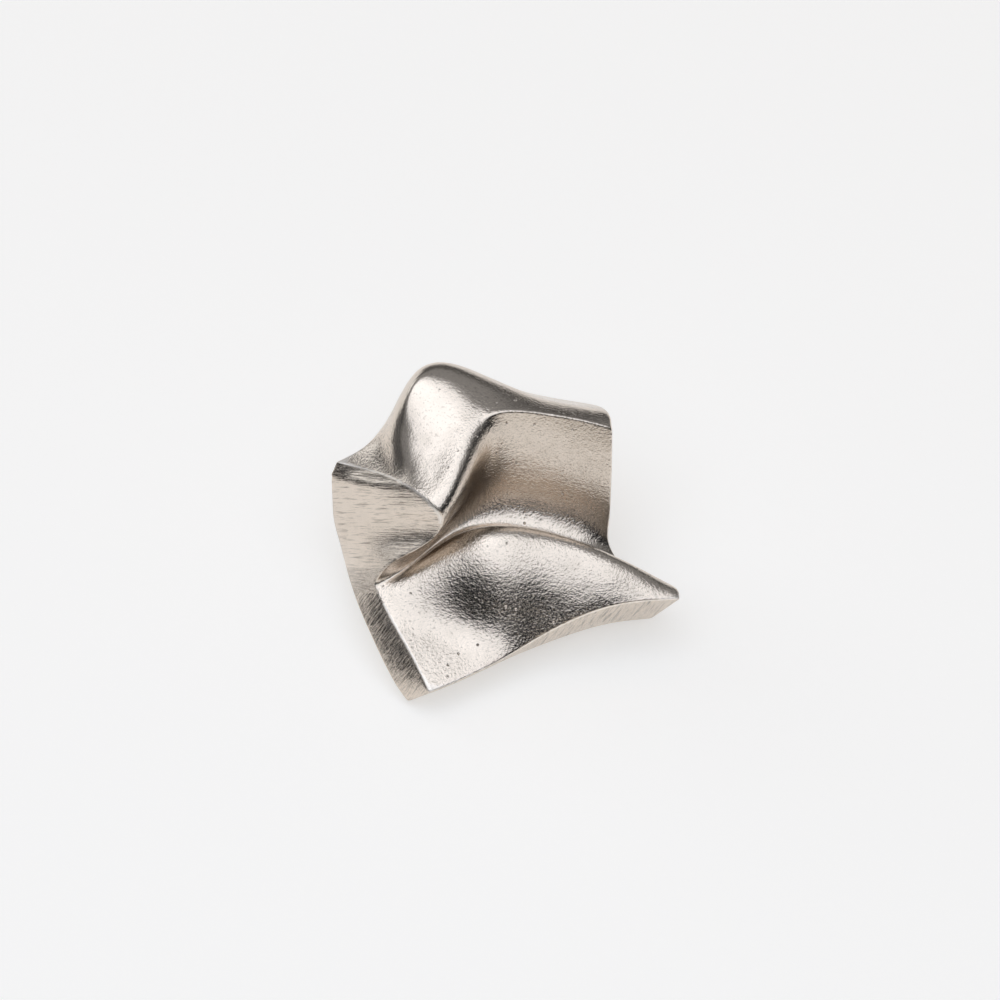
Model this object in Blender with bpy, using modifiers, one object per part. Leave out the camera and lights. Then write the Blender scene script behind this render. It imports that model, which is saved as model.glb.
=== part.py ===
# Cabinet knob, cast in one piece: a square slab that was pinched and folded like clay.
# A ridge forks over its back half, a rolled lobe swells along its front, and its four
# sides are plain cuts. A short round foot below the head holds the blind screw hole.
# Run it with: blender --background --python part.py

import math

import bmesh
import bpy
import numpy as np
from mathutils import Vector

MM = 0.001

# Driving sizes, in millimetres.
HEAD_WIDTH = 40.6        # across the head, from its left wing to its right tip
HEAD_DEPTH = 36.0        # from the front-left corner to the back edge
CREST_HEIGHT = 24.9      # top of the crest above the furniture
EDGE_CLEARANCE = 0.8     # lowest corner of the head above the furniture
FOOT_DIAMETER = 16.0
FOOT_EDGE_ROUNDING = 0.6
FOOT_REACH = 5.5         # how far up into the head the foot is carried
CUT_BULGE = 0.06         # how far the cut sides swell, as a share of their height
UNDERSIDE_HEIGHT = 4.0   # underside of the head where it meets the foot
SCREW_HOLE_DIAMETER = 3.3
SCREW_HOLE_DEPTH = 6.5
SCREW_HOLE_CHAMFER = 0.5

NICKEL_COLOUR = (0.66, 0.61, 0.53, 1.0)
NICKEL_ROUGHNESS = 0.3

# The head is drawn in millimetres from its front-left foot point: x to the right, y to
# the back, z up. Each row of the skin runs from the left cut to the right cut.
SKIN_ROWS = {
    "lip": [(2.3, -1.8, 4.0), (4.6, -0.8, 4.2), (8.1, 1.1, 4.4), (11.6, 3.2, 4.6),
            (15.2, 5.3, 5.6), (19.9, 6.7, 7.8), (25.2, 7.9, 8.9), (31.4, 8.6, 8.4)],
    "patch": [(1.0, 1.1, 5.1), (3.0, 2.2, 5.2), (6.9, 3.7, 5.2), (11.2, 4.5, 6.0),
              (15.5, 6.4, 7.0), (20.2, 7.5, 8.9), (25.8, 8.7, 9.5), (31.4, 9.2, 8.5)],
    "hollow": [(-0.5, 3.8, 6.2), (1.2, 5.5, 6.4), (5.6, 6.6, 6.0), (10.7, 6.1, 8.2),
               (15.5, 7.8, 8.7), (20.5, 8.6, 10.0), (26.0, 9.5, 10.0), (31.3, 9.8, 8.5)],
    "lobe slope": [(-2.0, 6.3, 7.1), (-0.2, 8.0, 7.5), (4.7, 9.8, 10.0), (9.8, 9.3, 12.3),
                   (15.3, 9.8, 10.9), (20.6, 10.4, 11.4), (26.1, 10.2, 10.5), (31.1, 10.4, 8.2)],
    "lobe front": [(-3.1, 8.3, 7.8), (-0.7, 9.6, 8.8), (4.2, 12.8, 12.2), (9.3, 13.2, 14.8),
                   (14.9, 13.6, 13.7), (20.4, 12.8, 12.7), (26.1, 11.3, 11.0), (30.7, 11.2, 7.6)],
    "lobe back": [(-4.0, 10.0, 8.3), (-0.7, 11.2, 9.4), (4.0, 15.2, 12.3), (9.0, 15.8, 14.3),
                  (14.6, 16.0, 13.4), (20.2, 14.6, 12.2), (25.9, 12.6, 10.3), (30.0, 12.6, 6.2)],
    "valley": [(-4.3, 10.8, 8.7), (-0.9, 12.0, 8.9), (4.4, 16.6, 10.0), (9.0, 17.8, 9.6),
               (14.0, 17.2, 9.3), (18.6, 16.2, 8.2), (22.6, 15.3, 6.6), (25.4, 15.3, 4.7)],
    "wall foot": [(-2.5, 10.9, 12.0), (0.3, 12.6, 10.6), (4.6, 17.9, 11.6), (8.2, 20.0, 11.4),
                  (12.4, 19.7, 10.7), (16.6, 19.0, 9.8), (20.4, 18.2, 8.8), (22.8, 17.8, 7.1)],
    "wall low": [(0.5, 10.8, 14.4), (2.4, 12.9, 12.9), (5.4, 17.9, 13.2), (8.6, 20.9, 13.4),
                 (12.6, 21.3, 13.0), (16.6, 20.7, 12.2), (20.3, 19.9, 11.0), (23.3, 19.1, 9.6)],
    "wall middle": [(2.9, 11.4, 15.8), (4.4, 13.6, 15.4), (6.8, 17.6, 16.2), (8.8, 21.2, 16.5),
                    (12.7, 22.1, 16.8), (16.6, 21.6, 16.2), (20.3, 21.0, 15.2), (23.5, 20.4, 14.2)],
    "wall top": [(4.1, 12.0, 18.1), (5.7, 13.8, 19.2), (7.7, 17.7, 21.2), (9.8, 21.8, 21.6),
                 (12.9, 22.6, 21.4), (16.5, 22.4, 20.9), (20.3, 22.1, 20.0), (23.6, 21.8, 19.0)],
    "crest": [(3.4, 12.3, 20.0), (4.6, 14.2, 21.0), (6.0, 17.8, 22.8), (8.2, 23.2, 24.4),
              (12.2, 24.2, 24.0), (16.4, 24.2, 23.1), (20.3, 24.0, 22.3), (23.6, 23.6, 21.3)],
    "face right": [(1.6, 14.2, 20.4), (3.2, 16.0, 21.0), (4.2, 20.0, 22.6), (6.6, 25.6, 24.9),
                   (11.4, 27.6, 23.5), (16.0, 27.0, 22.4), (20.0, 26.8, 21.7), (23.4, 26.2, 21.2)],
    "face left": [(-0.7, 16.2, 20.4), (-0.8, 18.9, 20.8), (-1.0, 22.8, 23.0), (3.0, 31.2, 27.5),
                  (7.4, 30.8, 23.7), (13.4, 29.6, 20.2), (18.4, 29.2, 19.2), (22.6, 28.6, 19.2)],
    "wing": [(-3.6, 20.0, 17.7), (-3.2, 21.2, 18.5), (-3.2, 23.5, 19.6), (-0.8, 30.6, 23.8),
             (3.6, 34.4, 22.0), (11.4, 32.8, 17.6), (17.2, 32.0, 17.0), (21.6, 31.2, 16.8)],
    "back edge": [(-8.7, 22.4, 16.6), (-6.4, 23.2, 17.3), (-4.3, 24.2, 18.3), (-1.2, 29.8, 18.8),
                  (2.6, 33.6, 18.4), (10.2, 34.2, 16.0), (16.4, 33.2, 14.8), (21.0, 32.0, 14.2)],
}

# Lower edge of each cut side, in the same order as the skin points above it.
LEFT_CUT_FOOT = [(-0.4, -0.7, 0.8), (-1.8, 0.7, 2.0), (-3.5, 3.6, 3.6), (-4.9, 6.6, 4.8),
                 (-6.1, 9.4, 5.6), (-6.8, 12.1, 5.4), (-7.4, 15.2, 4.3), (-8.1, 18.2, 4.1),
                 (-8.7, 19.9, 5.2), (-9.4, 20.9, 7.0), (-9.6, 21.3, 9.1), (-9.6, 21.5, 10.9),
                 (-9.6, 21.7, 12.4), (-9.5, 21.4, 14.0), (-9.4, 21.4, 14.9), (-9.2, 21.6, 15.3)]
FRONT_CUT_FOOT = [(-0.4, -0.7, 0.8), (3.2, 0.7, 1.3), (6.9, 2.4, 1.7), (11.1, 4.7, 2.0),
                  (15.2, 6.5, 2.3), (19.3, 8.3, 2.4), (23.5, 9.9, 2.3), (28.0, 10.6, 2.0)]
RIGHT_CUT_FOOT = [(28.0, 10.6, 2.0), (27.7, 11.2, 2.1), (27.4, 11.9, 2.2), (27.0, 12.6, 2.3),
                  (26.4, 13.4, 2.4), (25.6, 14.3, 2.4), (24.5, 15.5, 2.5), (22.6, 17.4, 2.7),
                  (21.2, 19.3, 3.0), (20.2, 21.4, 3.3), (19.6, 23.4, 3.7), (19.2, 25.2, 4.2),
                  (18.9, 27.0, 4.6), (18.6, 28.8, 5.1), (18.3, 30.4, 5.6), (18.0, 32.0, 6.0)]
BACK_CUT_FOOT = [(-9.2, 21.6, 15.3), (-6.8, 24.0, 13.9), (-4.2, 26.2, 12.0), (-1.0, 29.2, 10.5),
                 (3.6, 31.8, 9.0), (9.6, 33.0, 7.8), (14.4, 33.0, 6.8), (18.0, 32.0, 6.0)]

SKIN_EDGE_CREASE = 1.0
LOWER_EDGE_CREASE = 0.7
# Folds of the skin that stay tight: row, first and last column, and how tight.
TIGHT_FOLDS = [("crest", 3, 7, 0.7), ("face left", 2, 3, 0.4)]
SMOOTHING_LEVELS = 2
UNDERSIDE_INSET = 0.6    # share of the way from the lower edge to the foot's axis
FOOT_SIDES = 64
FOOT_EDGE_SEGMENTS = 3
FOOT_EDGE_ANGLE = 60     # degrees, the sharpest turn that stays unrounded
HOLE_SIDES = 32
DRILL_POINT_ANGLE = 118  # degrees
TOOL_OVERRUN = 1.0       # how far the hole's tool starts below the foot
WELD_DISTANCE = 0.00001  # metres


def clear_scene():
    for existing in list(bpy.data.objects):
        bpy.data.objects.remove(existing, do_unlink=True)


def new_collection(name):
    collection = bpy.data.collections.new(name)
    bpy.context.scene.collection.children.link(collection)
    return collection


def nickel_material():
    material = bpy.data.materials.new("satin_nickel")
    material.use_nodes = True
    shader = material.node_tree.nodes["Principled BSDF"]
    shader.inputs["Base Color"].default_value = NICKEL_COLOUR
    shader.inputs["Metallic"].default_value = 1.0
    shader.inputs["Roughness"].default_value = NICKEL_ROUGHNESS
    return material


def outer_loop(grid):
    """Grid points of the skin's edge, once round: front, right, back, left."""
    front = grid[0]
    right = [row[-1] for row in grid[1:]]
    back = list(reversed(grid[-1][:-1]))
    left = [row[0] for row in reversed(grid[1:-1])]
    return front + right + back + left


def lower_loop():
    """Lower edge of the four cut sides, in the order of outer_loop."""
    back = list(reversed(BACK_CUT_FOOT[:-1]))
    left = list(reversed(LEFT_CUT_FOOT[1:-1]))
    return [Vector(point) for point in FRONT_CUT_FOOT + RIGHT_CUT_FOOT[1:] + back + left]


def bulged_loop(upper, lower, corners):
    """Points half way down the cut sides, pushed outwards."""
    count = len(upper)
    loop = []
    for index in range(count):
        after = (index + 1) % count
        along = upper[after] - upper[index - 1] + lower[after] - lower[index - 1]
        height = upper[index] - lower[index]
        outward = along.cross(height).normalized()
        swell = 0.0 if index in corners else CUT_BULGE * height.length
        loop.append((upper[index] + lower[index]) / 2 + outward * swell)
    return loop


def inset_loop(lower):
    """Points on the underside, part of the way in to the foot's axis."""
    centre = sum(lower, Vector()) / len(lower)
    centre.z = UNDERSIDE_HEIGHT
    return [point.lerp(centre, UNDERSIDE_INSET) for point in lower]


def bridge(mesh, first, second):
    """Quads between two closed loops of vertices."""
    for index in range(len(first)):
        after = (index + 1) % len(first)
        mesh.faces.new((first[index], second[index], second[after], first[after]))


def crease_edge(mesh, start, end, amount):
    """Hold one edge against smoothing; a fully held one is also shaded sharp."""
    layer = mesh.edges.layers.float.get("crease_edge")
    edge = mesh.edges.get((start, end))
    edge[layer] = amount
    edge.smooth = amount < SKIN_EDGE_CREASE


def crease_loop(mesh, loop, amount):
    for index in range(len(loop)):
        crease_edge(mesh, loop[index - 1], loop[index], amount)


def head_cage(collection):
    """Coarse cage of the head: skin, cut sides and underside."""
    mesh = bmesh.new()
    mesh.edges.layers.float.new("crease_edge")
    grid = [[mesh.verts.new(point) for point in row] for row in SKIN_ROWS.values()]
    for near, far in zip(grid, grid[1:]):
        for column in range(len(near) - 1):
            mesh.faces.new((near[column], near[column + 1], far[column + 1], far[column]))

    edge = outer_loop(grid)
    lower_points = lower_loop()
    last = len(grid[0]) - 1
    corners = (0, last, last + len(grid) - 1, 2 * last + len(grid) - 1)
    middle_points = bulged_loop([vertex.co for vertex in edge], lower_points, corners)
    middle = [mesh.verts.new(point) for point in middle_points]
    lower = [mesh.verts.new(point) for point in lower_points]
    inset = [mesh.verts.new(point) for point in inset_loop(lower_points)]
    bridge(mesh, edge, middle)
    bridge(mesh, middle, lower)
    bridge(mesh, lower, inset)
    mesh.faces.new(inset)

    names = list(SKIN_ROWS)
    for name, first_column, last_column, amount in TIGHT_FOLDS:
        fold = grid[names.index(name)]
        for column in range(first_column, last_column):
            crease_edge(mesh, fold[column], fold[column + 1], amount)
    crease_loop(mesh, edge, SKIN_EDGE_CREASE)
    crease_loop(mesh, lower, LOWER_EDGE_CREASE)
    for corner in corners:
        crease_edge(mesh, edge[corner], middle[corner], SKIN_EDGE_CREASE)
        crease_edge(mesh, middle[corner], lower[corner], SKIN_EDGE_CREASE)

    bmesh.ops.recalc_face_normals(mesh, faces=mesh.faces[:])
    data = bpy.data.meshes.new("knob")
    mesh.to_mesh(data)
    mesh.free()
    head = bpy.data.objects.new("knob", data)
    collection.objects.link(head)

    smoothing = head.modifiers.new("smooth form", "SUBSURF")
    smoothing.levels = SMOOTHING_LEVELS
    smoothing.render_levels = SMOOTHING_LEVELS
    return head


def fit_to_size(head):
    """Bring the smoothed head to its named sizes, centred over the foot's axis."""
    graph = bpy.context.evaluated_depsgraph_get()
    smooth = head.evaluated_get(graph).to_mesh()
    points = np.array([vertex.co for vertex in smooth.vertices])
    low, high = points.min(axis=0), points.max(axis=0)
    sizes = np.array((HEAD_WIDTH, HEAD_DEPTH, CREST_HEIGHT - EDGE_CLEARANCE))
    middle = (low + high) / 2
    base = np.array((middle[0], middle[1], low[2]))
    lift = np.array((0.0, 0.0, EDGE_CLEARANCE))
    for vertex in head.data.vertices:
        drawn = np.array(vertex.co)
        vertex.co = ((drawn - base) * sizes / (high - low) + lift) * MM


def boolean(target, tool, operation):
    cut = target.modifiers.new(tool.name, "BOOLEAN")
    cut.object = tool
    cut.operation = operation
    cut.solver = "EXACT"


def as_tool(tool, collection):
    for owner in list(tool.users_collection):
        owner.objects.unlink(tool)
    collection.objects.link(tool)
    tool.hide_render = True
    tool.display_type = "WIRE"
    return tool


def foot_tool(collection):
    """Round foot that stands on the furniture, its lower edge rounded."""
    height = FOOT_REACH * MM
    bpy.ops.mesh.primitive_cylinder_add(vertices=FOOT_SIDES, radius=FOOT_DIAMETER / 2 * MM,
                                        depth=height, location=(0.0, 0.0, height / 2))
    foot = bpy.context.object
    foot.name = "foot"
    rounding = foot.modifiers.new("rounded edge", "BEVEL")
    rounding.width = FOOT_EDGE_ROUNDING * MM
    rounding.segments = FOOT_EDGE_SEGMENTS
    rounding.limit_method = "ANGLE"
    rounding.angle_limit = math.radians(FOOT_EDGE_ANGLE)
    return as_tool(foot, collection)


def screw_hole_tool(collection):
    """Blind hole at tapping size, drilled from below, with a drill point and a chamfer."""
    radius = SCREW_HOLE_DIAMETER / 2
    tip = radius / math.tan(math.radians(DRILL_POINT_ANGLE / 2))
    mouth = radius + SCREW_HOLE_CHAMFER + TOOL_OVERRUN
    profile = [(0.0, SCREW_HOLE_DEPTH + tip), (radius, SCREW_HOLE_DEPTH),
               (radius, SCREW_HOLE_CHAMFER), (mouth, -TOOL_OVERRUN), (0.0, -TOOL_OVERRUN)]
    mesh = bmesh.new()
    line = [mesh.verts.new((x * MM, 0.0, z * MM)) for x, z in profile]
    for start, end in zip(line, line[1:]):
        mesh.edges.new((start, end))
    data = bpy.data.meshes.new("screw hole")
    mesh.to_mesh(data)
    mesh.free()
    hole = bpy.data.objects.new("screw_hole", data)
    bpy.context.scene.collection.objects.link(hole)
    turn = hole.modifiers.new("turned", "SCREW")
    turn.steps = HOLE_SIDES
    turn.render_steps = HOLE_SIDES
    turn.use_merge_vertices = True
    turn.merge_threshold = WELD_DISTANCE
    return as_tool(hole, collection)


def build():
    clear_scene()
    parts = new_collection("cabinet_knob")
    tools = new_collection("cutters")
    knob = head_cage(parts)
    fit_to_size(knob)
    boolean(knob, foot_tool(tools), "UNION")
    boolean(knob, screw_hole_tool(tools), "DIFFERENCE")
    knob.data.materials.append(nickel_material())
    knob.data.shade_smooth()


build()
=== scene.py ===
import math

import bmesh
import bpy
import numpy as np
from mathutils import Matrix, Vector, noise


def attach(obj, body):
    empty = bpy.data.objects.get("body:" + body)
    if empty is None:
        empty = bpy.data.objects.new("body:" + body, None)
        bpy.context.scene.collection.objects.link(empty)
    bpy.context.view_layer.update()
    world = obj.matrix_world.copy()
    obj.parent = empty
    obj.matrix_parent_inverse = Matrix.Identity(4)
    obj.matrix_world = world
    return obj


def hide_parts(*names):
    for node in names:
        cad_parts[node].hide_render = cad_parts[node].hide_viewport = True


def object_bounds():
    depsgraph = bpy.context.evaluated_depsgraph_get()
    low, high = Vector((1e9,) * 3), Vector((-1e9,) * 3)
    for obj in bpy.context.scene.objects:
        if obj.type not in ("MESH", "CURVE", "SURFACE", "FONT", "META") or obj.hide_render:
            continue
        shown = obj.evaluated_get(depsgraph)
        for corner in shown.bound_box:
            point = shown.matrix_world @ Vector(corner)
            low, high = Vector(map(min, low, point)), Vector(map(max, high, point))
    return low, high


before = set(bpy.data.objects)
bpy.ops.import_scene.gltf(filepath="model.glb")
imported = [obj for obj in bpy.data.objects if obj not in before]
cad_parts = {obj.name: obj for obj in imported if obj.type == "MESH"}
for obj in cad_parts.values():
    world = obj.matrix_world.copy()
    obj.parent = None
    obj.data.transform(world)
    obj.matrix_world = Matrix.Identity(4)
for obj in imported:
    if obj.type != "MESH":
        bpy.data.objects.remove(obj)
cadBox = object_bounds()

# Cabinet knob in satin nickel: the folded head with its cast grain and filed cut sides,
# the round foot below it and the threaded screw hole.

mm = 0.001
castSlot, filedSlot = 0, 1      # the order of the two finishes on the head

print("camera and light")

cameraSetup = {
    "aim": (-0.0006, 0.00675, 0.00892),
    "elevation": 50.0,      # degrees above the table
    "distance": 0.9,
    "focalLength": 275.4,   # millimetres
    "sensorWidth": 36,      # millimetres
    "nearestSeen": 0.05,
}

studio = {
    "lamps": {
        # centre, width and depth, where it points, brightness and colour
        "softbox": ((-0.07, -0.32, 0.8), (1.2, 1.24), (0, 0, -1), 1.17, (0.87, 0.92, 1.0)),
        "softboxCore": ((-0.2, 0.03, 0.79), (0.36, 0.4), (0, 0, -1), 0.3, (0.87, 0.92, 1.0)),
        "ceiling": ((0.0, 0.45, 0.9), (2.8, 2.2), (0, 0, -1), 0.165, (0.93, 0.96, 1.0)),
        "sideCard": ((-0.85, 0.72, 0.5), (0.55, 0.8), (1, -0.7, 0), 1.0, (0.93, 0.97, 1.0)),
        "frontStrip": ((0.3, -1.2, 0.17), (1.3, 0.32), (0, 1, 0), 0.66, (1.0, 0.96, 0.9)),
        # warms the table only: the metal doesn't mirror it
        "tableFill": ((0.0, 0.0, 0.8), (1.5, 1.5), (0, 0, -1), 0.48, (1.0, 0.74, 0.47)),
    },
    "frontColour": (0.018, 0.019, 0.022),    # the dark side of the room, where the camera is
    "backColour": (0.105, 0.107, 0.112),
    "roomBlend": (-0.35, 0.3),       # where the dark front turns into the paler back
    "tableGrey": 0.66,
    "tableRoughness": 0.7,
    "tableGlow": (0.476, 0.476, 0.471),      # the table is a lit sheet, so shadows stay light
    "tableSize": 2.0,
}


def placeCamera():
    data = bpy.data.cameras.new("productCamera")
    camera = bpy.data.objects.new("productCamera", data)
    bpy.context.scene.collection.objects.link(camera)
    elevation = math.radians(cameraSetup["elevation"])
    away = Vector((0, -math.cos(elevation), math.sin(elevation))) * cameraSetup["distance"]
    camera.location = Vector(cameraSetup["aim"]) + away
    camera.rotation_euler = (math.pi / 2 - elevation, 0, 0)
    data.sensor_width = cameraSetup["sensorWidth"]
    data.lens = cameraSetup["focalLength"]
    data.clip_start = cameraSetup["nearestSeen"]
    bpy.context.scene.camera = camera
    bpy.context.scene.view_settings.view_transform = "Standard"


def placeLamp(name):
    centre, size, facing, brightness, colour = studio["lamps"][name]
    data = bpy.data.lights.new(name, "AREA")
    data.shape = "RECTANGLE"
    data.size, data.size_y = size
    data.color = colour
    data.energy = brightness * size[0] * size[1] * math.pi
    if name.startswith("softbox"):
        data.shape = "ELLIPSE"
        data.energy *= math.pi / 4
    lamp = bpy.data.objects.new(name, data)
    lamp.visible_glossy = name != "tableFill"
    lamp.location = centre
    lamp.rotation_euler = Vector(facing).to_track_quat("-Z", "Y").to_euler()
    bpy.context.scene.collection.objects.link(lamp)


def placeRoom():
    # dark towards the camera, paler towards the walls
    room = bpy.data.worlds.new("studioRoom")
    room.use_nodes = True
    tree = room.node_tree
    direction = tree.nodes.new("ShaderNodeTexCoord")
    split = tree.nodes.new("ShaderNodeSeparateXYZ")
    tree.links.new(direction.outputs["Generated"], split.inputs[0])
    share = tree.nodes.new("ShaderNodeMapRange")
    dark, pale = studio["roomBlend"]
    share.inputs["From Min"].default_value = dark
    share.inputs["From Max"].default_value = pale
    tree.links.new(split.outputs["Y"], share.inputs["Value"])
    blend = tree.nodes.new("ShaderNodeMix")
    blend.data_type = "RGBA"
    tree.links.new(share.outputs[0], blend.inputs[0])
    blend.inputs[6].default_value = (*studio["frontColour"], 1)
    blend.inputs[7].default_value = (*studio["backColour"], 1)
    tree.links.new(blend.outputs[2], tree.nodes["Background"].inputs["Color"])
    bpy.context.scene.world = room


def newPiece(name, data):
    piece = bpy.data.objects.new(name, data)
    bpy.context.scene.collection.objects.link(piece)
    return piece


def placeTable():
    half = studio["tableSize"] / 2
    data = bpy.data.meshes.new("table")
    corners = [(-half, -half, 0), (half, -half, 0), (half, half, 0), (-half, half, 0)]
    data.from_pydata(corners, [], [(0, 1, 2, 3)])
    table = newPiece("table", data)
    paper = bpy.data.materials.new("whitePaper")
    paper.use_nodes = True
    shader = paper.node_tree.nodes["Principled BSDF"]
    grey = studio["tableGrey"]
    shader.inputs["Base Color"].default_value = (grey, grey, grey, 1)
    shader.inputs["Roughness"].default_value = studio["tableRoughness"]
    shader.inputs["Emission Color"].default_value = (*studio["tableGlow"], 1)
    shader.inputs["Emission Strength"].default_value = 1
    data.materials.append(paper)


placeCamera()
for lampName in studio["lamps"]:
    placeLamp(lampName)
placeRoom()
placeTable()

print("nickel finishes")

agedNickel = {
    "colour": (0.735, 0.65, 0.567),
    "tarnish": (0.69, 0.61, 0.528),
    "driftScale": 0.5,       # patches per millimetre
    "driftDetail": 3.0,
    "driftRoughness": 0.6,
    "tarnishRange": (0.45, 0.75),
    "polishRange": (0.3, 0.7),
    "roughnessSpread": 0.05,
    "paintedEdgeHighlight": (1.0, 0.93, 0.86),    # painted highlight along the skin's edges
    "wornRoughness": 0.25,
    "highlightAndWearScale": 1.6,
    "highlightAndWearDetail": 2.0,
    "highlightAndWearRange": (0.3, 0.7),
    "highlightAndWearReach": (0.96, 0.88),          # how near the edge the painted highlight and the wear start
}

castNickel = {
    "cavity": (0.34, 0.30, 0.26),       # darker colour in the lowest grain
    "cavityShare": 0.4,
    "cavityRange": (0.42, 0.3),
    "roughness": 0.16,
    "grainScale": 3.3,       # grains per millimetre
    "grainDetail": 2.0,
    "grainRoughness": 0.55,
    "grainTwist": 0.4,
    "grainDepth": 0.054,     # millimetres
    "fineScale": 6.5,
    "fineDetail": 2.0,
    "fineDepth": 0.018,
    "pitScale": 0.9,
    "pitEdge": (0.05, 0.17),
    "pitDepth": 0.075,
    "pitShare": 0.2,
    "calmShare": 0.3,        # grain left on the calm parts
}

filedNickel = {
    "cavity": (0.30, 0.26, 0.22),
    "cavityShare": 0.9,
    "cavityRange": (0.45, 0.3),
    "roughness": 0.2,
    "markLength": 0.45,      # marks per millimetre along
    "markWidth": 4.2,        # marks per millimetre across
    "markDetail": 3.0,
    "markRoughness": 0.6,
    "markTwist": 0.3,
    "markDepth": 0.09,
    "grainScale": 4.0,
    "grainDetail": 2.0,
    "grainDepth": 0.02,
}


def nodeMaker(material):
    material.use_nodes = True
    tree = material.node_tree

    def make(kind, **inputs):
        node = tree.nodes.new(kind)
        for key, value in inputs.items():
            key = key.replace("_", " ")
            if isinstance(value, bpy.types.NodeSocket):
                tree.links.new(value, node.inputs[key])
            else:
                node.inputs[key].default_value = value
        return node

    return tree, tree.nodes["Principled BSDF"], make


def maths(tree, operation, first, second):
    node = tree.nodes.new("ShaderNodeMath")
    node.operation = operation
    for socket, value in zip(node.inputs, (first, second)):
        if isinstance(value, bpy.types.NodeSocket):
            tree.links.new(value, socket)
        else:
            socket.default_value = value
    return node.outputs[0]


def inMillimetres(tree):
    place = tree.nodes.new("ShaderNodeTexCoord")
    scale = tree.nodes.new("ShaderNodeVectorMath")
    scale.operation = "SCALE"
    scale.inputs["Scale"].default_value = 1 / mm
    tree.links.new(place.outputs["Object"], scale.inputs[0])
    return scale.outputs[0]


def blendColour(tree, share, first, second):
    blend = tree.nodes.new("ShaderNodeMix")
    blend.data_type = "RGBA"
    for socket, value in ((0, share), (6, first), (7, second)):
        if isinstance(value, bpy.types.NodeSocket):
            tree.links.new(value, blend.inputs[socket])
        else:
            blend.inputs[socket].default_value = value
    return blend.outputs[2]


def ramp(make, value, start, end, low=0.0, high=1.0):
    return make("ShaderNodeMapRange", Value=value, From_Min=start, From_Max=end,
                To_Min=low, To_Max=high).outputs[0]


def noted(tree, name):
    note = tree.nodes.new("ShaderNodeAttribute")
    note.attribute_name = name
    return note.outputs["Fac"]


def finishMetal(tree, shader, make, look, place, hollows):
    # slow drift of colour and polish, darker metal in the hollows, and a painted highlight along the
    # edges, which are also made rougher
    aged = agedNickel
    drift = make("ShaderNodeTexNoise", Vector=place, Scale=aged["driftScale"],
                 Detail=aged["driftDetail"], Roughness=aged["driftRoughness"]).outputs[0]
    spread = ramp(make, drift, *aged["tarnishRange"])
    colour = blendColour(tree, spread, (*aged["colour"], 1), (*aged["tarnish"], 1))
    depth = maths(tree, "MULTIPLY", hollows, look["cavityShare"])
    colour = blendColour(tree, depth, colour, (*look["cavity"], 1))
    patchy = make("ShaderNodeTexNoise", Vector=place, Scale=aged["highlightAndWearScale"],
                  Detail=aged["highlightAndWearDetail"]).outputs[0]
    reach = ramp(make, patchy, *aged["highlightAndWearRange"], *aged["highlightAndWearReach"])
    # lighter colour along the edges: a painted highlight, and more roughness there
    highlightAndWear = ramp(make, noted(tree, "edgeHighlightAndWear"), reach, 1.0)
    colour = blendColour(tree, highlightAndWear, colour, (*aged["paintedEdgeHighlight"], 1))
    tree.links.new(colour, shader.inputs["Base Color"])
    dullest = look["roughness"] + aged["roughnessSpread"]
    polish = ramp(make, drift, *aged["polishRange"], look["roughness"], dullest)
    rough = maths(tree, "ADD", polish, maths(tree, "MULTIPLY", highlightAndWear, aged["wornRoughness"]))
    tree.links.new(rough, shader.inputs["Roughness"])
    shader.inputs["Metallic"].default_value = 1.0


def raiseSurface(tree, shader, make, height):
    bump = make("ShaderNodeBump", Height=height, Distance=mm)
    tree.links.new(bump.outputs[0], shader.inputs["Normal"])


def castSkin():
    look = castNickel
    material = bpy.data.materials.new("castNickel")
    tree, shader, make = nodeMaker(material)
    place = inMillimetres(tree)
    grain = make("ShaderNodeTexNoise", Vector=place, Scale=look["grainScale"],
                 Detail=look["grainDetail"], Roughness=look["grainRoughness"],
                 Distortion=look["grainTwist"]).outputs[0]
    fine = make("ShaderNodeTexNoise", Vector=place, Scale=look["fineScale"],
                Detail=look["fineDetail"]).outputs[0]
    cell = make("ShaderNodeTexVoronoi", Vector=place, Scale=look["pitScale"])
    near = ramp(make, cell.outputs["Distance"], *look["pitEdge"], 1.0, 0.0)
    split = tree.nodes.new("ShaderNodeSeparateColor")
    tree.links.new(cell.outputs["Color"], split.inputs[0])
    chosen = maths(tree, "LESS_THAN", split.outputs[0], look["pitShare"])
    pits = maths(tree, "MULTIPLY", near, chosen)
    hollows = maths(tree, "MAXIMUM", ramp(make, grain, *look["cavityRange"]), pits)
    finishMetal(tree, shader, make, look, place, hollows)
    height = maths(tree, "MULTIPLY", grain, look["grainDepth"])
    height = maths(tree, "ADD", height, maths(tree, "MULTIPLY", fine, look["fineDepth"]))
    height = maths(tree, "SUBTRACT", height, maths(tree, "MULTIPLY", pits, look["pitDepth"]))
    share = ramp(make, noted(tree, "calmSkin"), 0.0, 1.0, 1.0, look["calmShare"])
    raiseSurface(tree, shader, make, maths(tree, "MULTIPLY", height, share))
    return material


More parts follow.
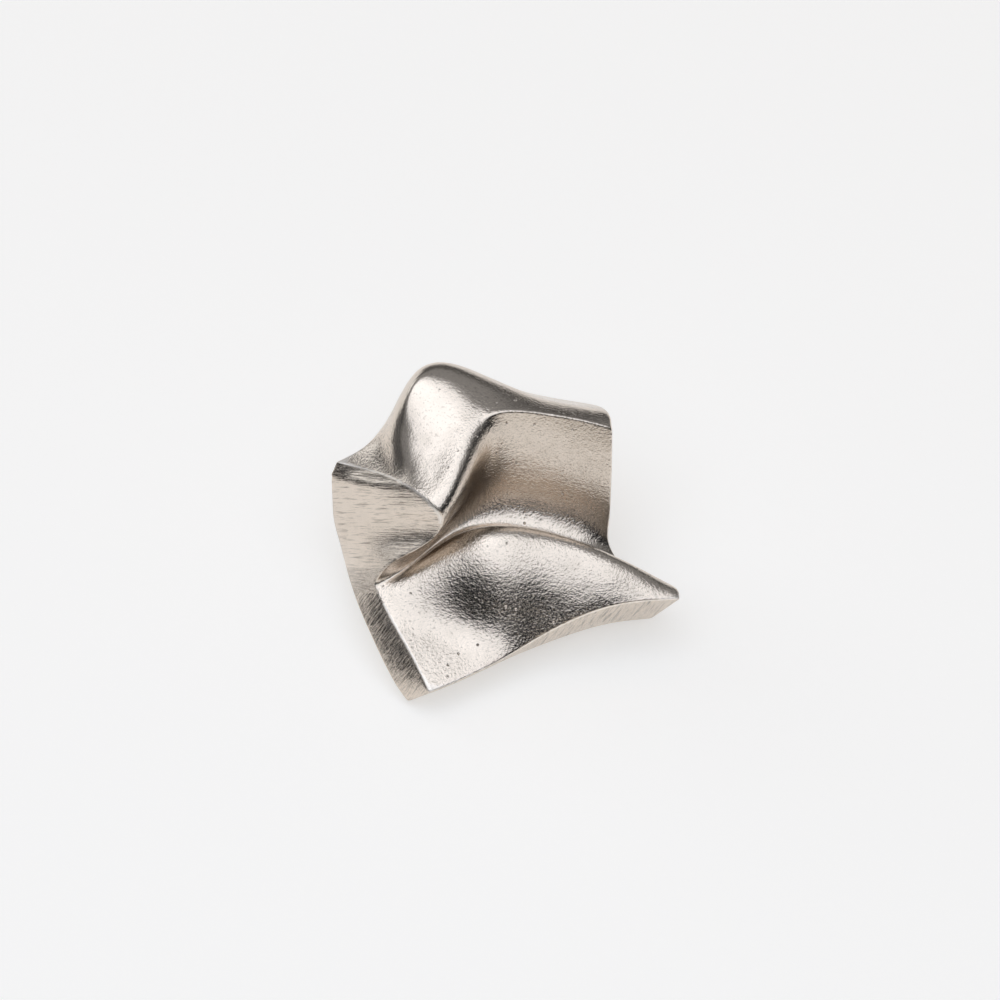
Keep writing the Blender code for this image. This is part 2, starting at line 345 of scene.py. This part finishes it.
def filedCut():
    look = filedNickel
    material = bpy.data.materials.new("filedNickel")
    tree, shader, make = nodeMaker(material)
    place = inMillimetres(tree)
    marks = tree.nodes.new("ShaderNodeUVMap")
    marks.uv_map = "fileMarks"
    stretch = tree.nodes.new("ShaderNodeMapping")
    stretch.inputs["Scale"].default_value = (look["markLength"], look["markWidth"], 1)
    tree.links.new(marks.outputs[0], stretch.inputs[0])
    lines = make("ShaderNodeTexNoise", Vector=stretch.outputs[0], Scale=1.0,
                 Detail=look["markDetail"], Roughness=look["markRoughness"],
                 Distortion=look["markTwist"]).outputs[0]
    grain = make("ShaderNodeTexNoise", Vector=place, Scale=look["grainScale"],
                 Detail=look["grainDetail"]).outputs[0]
    finishMetal(tree, shader, make, look, place, ramp(make, lines, *look["cavityRange"]))
    height = maths(tree, "MULTIPLY", lines, noted(tree, "fileDepth"))
    height = maths(tree, "MULTIPLY", height, look["markDepth"])
    height = maths(tree, "ADD", height, maths(tree, "MULTIPLY", grain, look["grainDepth"]))
    raiseSurface(tree, shader, make, height)
    return material


finishes = {"cast": castSkin(), "filed": filedCut()}

print("folded head")

# Points of the head's skin in millimetres, each row from the left cut to the right cut.
headForm = {
    "skinRows": {
        "lip": [(2.3, -1.8, 4.0), (4.6, -0.8, 4.2), (8.1, 1.1, 4.4), (11.6, 3.2, 4.6),
                (15.2, 5.3, 5.6), (19.9, 6.7, 7.8), (25.2, 7.9, 8.9), (31.4, 8.6, 8.4)],
        "patch": [(1.0, 1.1, 5.1), (3.0, 2.2, 5.2), (6.9, 3.7, 5.2), (11.2, 4.5, 6.0),
                  (15.5, 6.4, 7.0), (20.2, 7.5, 8.9), (25.8, 8.7, 9.5), (31.4, 9.2, 8.5)],
        "hollow": [(-0.5, 3.8, 6.2), (1.2, 5.5, 6.4), (5.6, 6.6, 6.0), (10.7, 6.1, 8.2),
                   (15.5, 7.8, 8.7), (20.5, 8.6, 10.0), (26.0, 9.5, 10.0), (31.3, 9.8, 8.5)],
        "lobe slope": [(-2.0, 6.3, 7.1), (-0.2, 8.0, 7.5), (4.7, 9.8, 10.0), (9.8, 9.3, 12.3),
                       (15.3, 9.8, 10.9), (20.6, 10.4, 11.4), (26.1, 10.2, 10.5), (31.1, 10.4, 8.2)],
        "lobe front": [(-3.1, 8.3, 7.8), (-0.7, 9.6, 8.8), (4.2, 12.8, 12.2), (9.3, 13.2, 14.8),
                       (14.9, 13.6, 13.7), (20.4, 12.8, 12.7), (26.1, 11.3, 11.0), (30.7, 11.2, 7.6)],
        "lobe back": [(-4.0, 10.0, 8.3), (-0.7, 11.2, 9.4), (4.0, 15.2, 12.3), (9.0, 15.8, 14.3),
                      (14.6, 16.0, 13.4), (20.2, 14.6, 12.2), (25.9, 12.6, 10.3), (30.0, 12.6, 6.2)],
        "valley": [(-4.3, 10.8, 8.7), (-0.9, 12.0, 8.9), (4.4, 16.6, 10.0), (9.0, 17.8, 9.6),
                   (14.0, 17.2, 9.3), (18.6, 16.2, 8.2), (22.6, 15.3, 6.6), (25.4, 15.3, 4.7)],
        "wall foot": [(-2.5, 10.9, 12.0), (0.3, 12.6, 10.6), (4.6, 17.9, 11.6), (8.2, 20.0, 11.4),
                      (12.4, 19.7, 10.7), (16.6, 19.0, 9.8), (20.4, 18.2, 8.8), (22.8, 17.8, 7.1)],
        "wall low": [(0.5, 10.8, 14.4), (2.4, 12.9, 12.9), (5.4, 17.9, 13.2), (8.6, 20.9, 13.4),
                     (12.6, 21.3, 13.0), (16.6, 20.7, 12.2), (20.3, 19.9, 11.0), (23.3, 19.1, 9.6)],
        "wall middle": [(2.9, 11.4, 15.8), (4.4, 13.6, 15.4), (6.8, 17.6, 16.2), (8.8, 21.2, 16.5),
                        (12.7, 22.1, 16.8), (16.6, 21.6, 16.2), (20.3, 21.0, 15.2), (23.5, 20.4, 14.2)],
        "wall top": [(4.1, 12.0, 18.1), (5.7, 13.8, 19.2), (7.7, 17.9, 21.2), (9.8, 22.4, 21.6),
                     (12.9, 23.3, 21.4), (16.5, 23.1, 20.9), (20.3, 22.8, 20.0), (23.6, 22.4, 19.0)],
        "crest": [(3.4, 12.3, 20.0), (4.6, 14.2, 21.0), (6.0, 17.8, 22.8), (8.2, 23.2, 24.4),
                  (12.2, 24.2, 24.0), (16.4, 24.2, 23.1), (20.3, 24.0, 22.3), (23.6, 23.6, 21.3)],
        "face right": [(1.6, 14.2, 20.4), (3.2, 16.0, 21.0), (4.2, 20.0, 22.6), (6.6, 25.6, 24.9),
                       (11.4, 27.6, 23.5), (16.0, 27.0, 22.4), (20.0, 26.8, 21.7), (23.4, 26.2, 21.2)],
        "face left": [(-0.7, 16.2, 20.4), (-1.2, 18.9, 20.8), (-2.2, 23.2, 22.7), (1.7, 31.0, 27.2),
                      (7.4, 30.8, 23.7), (13.4, 29.6, 20.2), (18.4, 29.2, 19.2), (22.6, 28.6, 19.2)],
        "wing": [(-3.6, 20.0, 17.7), (-3.2, 21.2, 18.5), (-2.9, 23.6, 19.9), (-0.4, 30.6, 24.2),
                 (3.6, 34.4, 22.0), (11.4, 32.8, 17.6), (17.2, 32.0, 17.0), (21.6, 31.2, 16.8)],
        "back edge": [(-8.7, 22.4, 16.6), (-6.4, 23.2, 17.3), (-4.3, 24.2, 18.3), (-1.2, 29.8, 18.8),
                      (2.6, 33.6, 18.4), (10.2, 34.2, 16.0), (16.4, 33.2, 14.8), (21.0, 32.0, 14.2)],
    },
    "leftFoot": [(-0.4, -0.7, 0.8), (-1.8, 0.7, 2.0), (-3.5, 3.6, 3.6), (-4.9, 6.6, 4.8),
                 (-6.1, 9.4, 5.6), (-6.8, 12.1, 5.4), (-7.4, 15.2, 4.3), (-8.1, 18.2, 4.1),
                 (-8.7, 19.9, 5.2), (-9.4, 20.9, 7.0), (-9.6, 21.3, 9.1), (-9.6, 21.5, 10.9),
                 (-9.6, 21.7, 12.4), (-9.5, 21.4, 14.0), (-9.4, 21.4, 14.9), (-9.2, 21.6, 15.3)],
    "frontFoot": [(-0.4, -0.7, 0.8), (3.2, 0.7, 1.3), (6.9, 2.4, 1.7), (11.1, 4.7, 2.0),
                  (15.2, 6.5, 2.3), (19.3, 8.3, 2.4), (23.5, 9.9, 2.3), (28.0, 10.6, 2.0)],
    "rightFoot": [(28.0, 10.6, 2.0), (27.7, 11.2, 2.1), (27.4, 11.9, 2.2), (27.0, 12.6, 2.3),
                  (26.4, 13.4, 2.4), (25.6, 14.3, 2.4), (24.5, 15.5, 2.5), (22.6, 17.4, 2.7),
                  (21.2, 19.3, 3.0), (20.2, 21.4, 3.3), (19.6, 23.4, 3.7), (19.2, 25.2, 4.2),
                  (18.9, 27.0, 4.6), (18.6, 28.8, 5.1), (18.3, 30.4, 5.6), (18.0, 32.0, 6.0)],
    "backFoot": [(-9.2, 21.6, 15.3), (-6.8, 24.0, 13.9), (-4.2, 26.2, 12.0), (-1.0, 29.2, 10.5),
                 (3.6, 31.8, 9.0), (9.6, 33.0, 7.8), (14.4, 33.0, 6.8), (18.0, 32.0, 6.0)],
    "cutBulge": 0.06,
    "underHeight": 4.0,      # the middle of the underside
    "underInset": 0.6,
    "skinEdgeCrease": 0.5,
    "lowerEdgeCrease": 0.5,
    # row, first and last column, and how tightly the skin folds there
    "tightFolds": [("crest", 3, 7, 0.6), ("face left", 2, 3, 0.62)],
    "calmParts": {"face right": (1, 2, 3), "face left": (1, 2, 3)},    # columns with little grain
    # rows whose left end lies in the fold, where neither the painted edge highlight nor the wear goes
    "rowsWithoutHighlightOrWear": ("lobe back", "valley", "wall foot", "wall low", "wall middle"),
    "smoothing": 4,
    "lowestCorner": 0.8,
    "sharpAngle": 40,        # degrees between faces from which an edge is shown sharp
}


def meshData(mesh, name):
    bmesh.ops.recalc_face_normals(mesh, faces=mesh.faces[:])
    data = bpy.data.meshes.new(name)
    mesh.to_mesh(data)
    mesh.free()
    return data


def skinRing(grid):
    front = grid[0]
    right = [row[-1] for row in grid[1:]]
    back = list(reversed(grid[-1][:-1]))
    left = [row[0] for row in reversed(grid[1:-1])]
    return front + right + back + left


def footRing():
    back = list(reversed(headForm["backFoot"][:-1]))
    left = list(reversed(headForm["leftFoot"][1:-1]))
    points = headForm["frontFoot"] + headForm["rightFoot"][1:] + back + left
    return [Vector(point) for point in points]


def swollenRing(upper, lower, corners):
    ring = []
    count = len(upper)
    for index in range(count):
        after = (index + 1) % count
        along = upper[after] - upper[index - 1] + lower[after] - lower[index - 1]
        height = upper[index] - lower[index]
        outward = along.cross(height).normalized()
        swell = 0.0 if index in corners else headForm["cutBulge"] * height.length
        ring.append((upper[index] + lower[index]) / 2 + outward * swell)
    return ring


def band(mesh, first, second):
    for index in range(len(first)):
        after = (index + 1) % len(first)
        face = mesh.faces.new((first[index], second[index], second[after], first[after]))
        face.material_index = filedSlot


def hold(mesh, layer, start, end, amount):
    mesh.edges.get((start, end))[layer] = amount


def skinGrid(mesh):
    # the edges with the painted highlight and the wear, and the calm parts, are noted on the skin's
    # points, for the finish
    highlightAndWearLayer = mesh.verts.layers.float.new("edgeHighlightAndWear")
    calm = mesh.verts.layers.float.new("calmSkin")
    grid = [[mesh.verts.new(point) for point in row] for row in headForm["skinRows"].values()]
    for near, far in zip(grid, grid[1:]):
        for column in range(len(near) - 1):
            mesh.faces.new((near[column], near[column + 1], far[column + 1], far[column]))
    rows = dict(zip(headForm["skinRows"], grid))
    # the whole rim of the skin gets the painted edge highlight
    for point in skinRing(grid):
        point[highlightAndWearLayer] = 1
    for name in headForm["rowsWithoutHighlightOrWear"]:
        rows[name][0][highlightAndWearLayer] = 0
    for name, columns in headForm["calmParts"].items():
        for column in columns:
            rows[name][column][calm] = 1
    return grid, rows


def holdEdges(mesh, layer, rings, rows, corners):
    ring, middle, lower = rings
    for name, firstColumn, lastColumn, amount in headForm["tightFolds"]:
        fold = rows[name]
        for column in range(firstColumn, lastColumn):
            hold(mesh, layer, fold[column], fold[column + 1], amount)
    for index in range(len(ring)):
        hold(mesh, layer, ring[index - 1], ring[index], headForm["skinEdgeCrease"])
        hold(mesh, layer, lower[index - 1], lower[index], headForm["lowerEdgeCrease"])
    for corner in corners:
        hold(mesh, layer, ring[corner], middle[corner], headForm["skinEdgeCrease"])
        hold(mesh, layer, middle[corner], lower[corner], headForm["lowerEdgeCrease"])


def headCage():
    mesh = bmesh.new()
    layer = mesh.edges.layers.float.new("crease_edge")
    grid, rows = skinGrid(mesh)
    ring = skinRing(grid)
    lowerPoints = footRing()
    last = len(grid[0]) - 1
    corners = (0, last, last + len(grid) - 1, 2 * last + len(grid) - 1)
    middlePoints = swollenRing([point.co for point in ring], lowerPoints, corners)
    centre = sum(lowerPoints, Vector()) / len(lowerPoints)
    centre.z = headForm["underHeight"]
    insetPoints = [point.lerp(centre, headForm["underInset"]) for point in lowerPoints]
    middle = [mesh.verts.new(point) for point in middlePoints]
    lower = [mesh.verts.new(point) for point in lowerPoints]
    inset = [mesh.verts.new(point) for point in insetPoints]
    band(mesh, ring, middle)
    band(mesh, middle, lower)
    band(mesh, lower, inset)
    mesh.faces.new(inset).material_index = filedSlot
    holdEdges(mesh, layer, (ring, middle, lower), rows, corners)
    return meshData(mesh, "headCage")


def applied(piece):
    graph = bpy.context.evaluated_depsgraph_get()
    data = bpy.data.meshes.new_from_object(piece.evaluated_get(graph))
    old = piece.data
    piece.modifiers.clear()
    piece.data = data
    bpy.data.meshes.remove(old)
    return piece


def meshPoints(data):
    flat = np.empty(len(data.vertices) * 3)
    data.vertices.foreach_get("co", flat)
    return flat.reshape(-1, 3)


def setPoints(data, points):
    data.vertices.foreach_set("co", points.ravel())
    data.update()


def fitToFrame(points):
    low, high = points.min(axis=0), points.max(axis=0)
    boxLow, boxHigh = np.array(cadBox[0]), np.array(cadBox[1])
    boxLow[2] = headForm["lowestCorner"] * mm
    return (points - low) / (high - low) * (boxHigh - boxLow) + boxLow


castLumps = {
    "waveSize": 3.0, "waveHeight": 0.03, "waveStart": (3, 7, 1),
    "lumpSize": 1.0, "lumpHeight": 0.012, "lumpStart": (9, 2, 5),
    "cutShare": 0.35,        # of the lumps' height, on the filed cuts
}


def waves(points, size, drift):
    return np.array([noise.noise(Vector(point) / size + drift) for point in points])


def roughen(data):
    # cast lumps stand on the skin, and the cut sides stay flatter
    points = meshPoints(data)
    normals = np.empty(len(data.vertices) * 3)
    data.vertices.foreach_get("normal", normals)
    normals = normals.reshape(-1, 3)
    skin = np.zeros(len(points))
    for face in data.polygons:
        if face.material_index == castSlot:
            skin[list(face.vertices)] = 1.0
    inMm = points / mm
    height = np.zeros(len(points))
    for kind in ("wave", "lump"):
        bumps = waves(inMm, castLumps[kind + "Size"], Vector(castLumps[kind + "Start"]))
        height += castLumps[kind + "Height"] * bumps
    height *= castLumps["cutShare"] + (1 - castLumps["cutShare"]) * skin
    setPoints(data, points + normals * height[:, None] * mm)


def foldedHead():
    head = newPiece("foldedHead", headCage())
    smooth = head.modifiers.new("smooth", "SUBSURF")
    smooth.levels = smooth.render_levels = headForm["smoothing"]
    applied(head)
    head.data.materials.append(finishes["cast"])
    head.data.materials.append(finishes["filed"])
    setPoints(head.data, fitToFrame(meshPoints(head.data)))
    roughen(head.data)
    setPoints(head.data, fitToFrame(meshPoints(head.data)))
    return head


knob = foldedHead()

print("round foot")

footForm = {
    "radius": 8.0,
    "reach": 5.5,
    "edgeRounding": 0.6,
    "roundingSteps": 5,
    "sides": 128,
    "weld": 0.001,           # points closer than this become one
}


def roundFoot():
    mesh = bmesh.new()
    radius, reach, rounding = footForm["radius"], footForm["reach"], footForm["edgeRounding"]
    profile = [(0, reach), (radius, reach), (radius, rounding)]
    steps = footForm["roundingSteps"]
    for step in range(1, steps + 1):
        angle = math.radians(90 * step / steps)
        profile.append((radius - rounding + rounding * math.cos(angle),
                        rounding - rounding * math.sin(angle)))
    profile.append((0, 0))
    line = [mesh.verts.new((x * mm, 0, z * mm)) for x, z in profile]
    for start, end in zip(line, line[1:]):
        mesh.edges.new((start, end))
    bmesh.ops.spin(mesh, geom=mesh.verts[:] + mesh.edges[:], cent=(0, 0, 0), axis=(0, 0, 1),
                   angle=math.tau, steps=footForm["sides"], use_merge=True)
    bmesh.ops.remove_doubles(mesh, verts=mesh.verts[:], dist=footForm["weld"] * mm)
    data = meshData(mesh, "roundFoot")
    data.materials.append(finishes["filed"])
    return newPiece("roundFoot", data)


def join(piece, tool, operation):
    change = piece.modifiers.new(operation, "BOOLEAN")
    change.object = tool
    change.operation = operation
    change.solver = "MANIFOLD"
    applied(piece)
    bpy.data.objects.remove(tool, do_unlink=True)


join(knob, roundFoot(), "UNION")

print("threaded hole")

holeForm = {
    "tapRadius": 1.65,
    "threadRadius": 2.0,
    "threadPitch": 0.7,
    "depth": 6.5,
    "chamfer": 0.5,
    "turnSteps": 24,
    "levelsPerTurn": 6,
    "drillTip": 1.0,
    "mouthMargin": 1.0,      # the cutter starts this far below the foot and beyond the chamfer
}


def onCircle(mesh, radius, turn, height):
    angle = math.tau * turn
    return mesh.verts.new((radius * math.cos(angle) * mm, radius * math.sin(angle) * mm, height * mm))


def threadReach(height, turn):
    # one pitch per turn, fading out at the bottom, with a chamfer at the mouth
    pitch = holeForm["threadPitch"]
    tooth = abs((height / pitch - turn) % 1 - 0.5) * 2
    fade = min(1, (holeForm["depth"] - height) / pitch)
    cut = (holeForm["threadRadius"] - holeForm["tapRadius"]) * tooth * fade
    return holeForm["tapRadius"] + max(cut, holeForm["chamfer"] - height)


def threadedHole():
    mesh = bmesh.new()
    steps, depth = holeForm["turnSteps"], holeForm["depth"]
    turns = [step / steps for step in range(steps)]
    levels = int(depth / holeForm["threadPitch"] * holeForm["levelsPerTurn"])
    margin = holeForm["mouthMargin"]
    mouth = holeForm["tapRadius"] + holeForm["chamfer"] + margin
    rings = [[onCircle(mesh, mouth, turn, -margin) for turn in turns]]
    for level in range(levels + 1):
        height = depth * level / levels
        rings.append([onCircle(mesh, threadReach(height, turn), turn, height) for turn in turns])
    for low, high in zip(rings, rings[1:]):
        for step in range(steps):
            after = (step + 1) % steps
            mesh.faces.new((low[step], low[after], high[after], high[step]))
    tip = mesh.verts.new((0, 0, (depth + holeForm["drillTip"]) * mm))
    for step in range(steps):
        mesh.faces.new((rings[-1][step], rings[-1][(step + 1) % steps], tip))
    mesh.faces.new(list(reversed(rings[0])))
    data = meshData(mesh, "threadedHole")
    data.materials.append(finishes["filed"])
    return newPiece("threadedHole", data)


join(knob, threadedHole(), "DIFFERENCE")

print("file marks")

fileStrokes = {
    "turnHeight": 3.0,       # below this height in the picture the strokes turn
    "turn": 52,              # degrees
    "deeper": 1.6,           # how much deeper they get there
    "footMargin": 1.02,
    "footTop": 4.5,
}


def markCoordinates(data):
    # along and across the file marks of the cut sides, in millimetres
    layer = data.uv_layers.new(name="fileMarks")
    slope = math.radians(cameraSetup["elevation"])
    points = meshPoints(data) / mm
    rise = points[:, 1] * math.sin(slope) + points[:, 2] * math.cos(slope)
    lowness = np.clip(1 - rise / fileStrokes["turnHeight"], 0, 1)
    turn = lowness * math.radians(fileStrokes["turn"])
    along = points[:, 0] * np.cos(turn) + rise * np.sin(turn)
    across = -points[:, 0] * np.sin(turn) + rise * np.cos(turn)
    nearAxis = np.hypot(points[:, 0], points[:, 1]) < footForm["radius"] * fileStrokes["footMargin"]
    onFoot = nearAxis & (points[:, 2] < fileStrokes["footTop"])
    along = np.where(onFoot, points[:, 0], along)
    across = np.where(onFoot, points[:, 1] + points[:, 2], across)
    depth = data.attributes.new("fileDepth", "FLOAT", "POINT")
    depth.data.foreach_set("value", np.where(onFoot, 1, 1 + fileStrokes["deeper"] * lowness))
    corner = np.empty(len(data.loops), dtype=np.int32)
    data.loops.foreach_get("vertex_index", corner)
    marks = np.column_stack((along, across))[corner]
    layer.data.foreach_set("uv", marks.ravel().astype(np.float32))


markCoordinates(knob.data)
knob.data.shade_smooth()
knob.data.set_sharp_from_angle(angle=math.radians(headForm["sharpAngle"]))
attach(knob, "root")
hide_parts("knob")
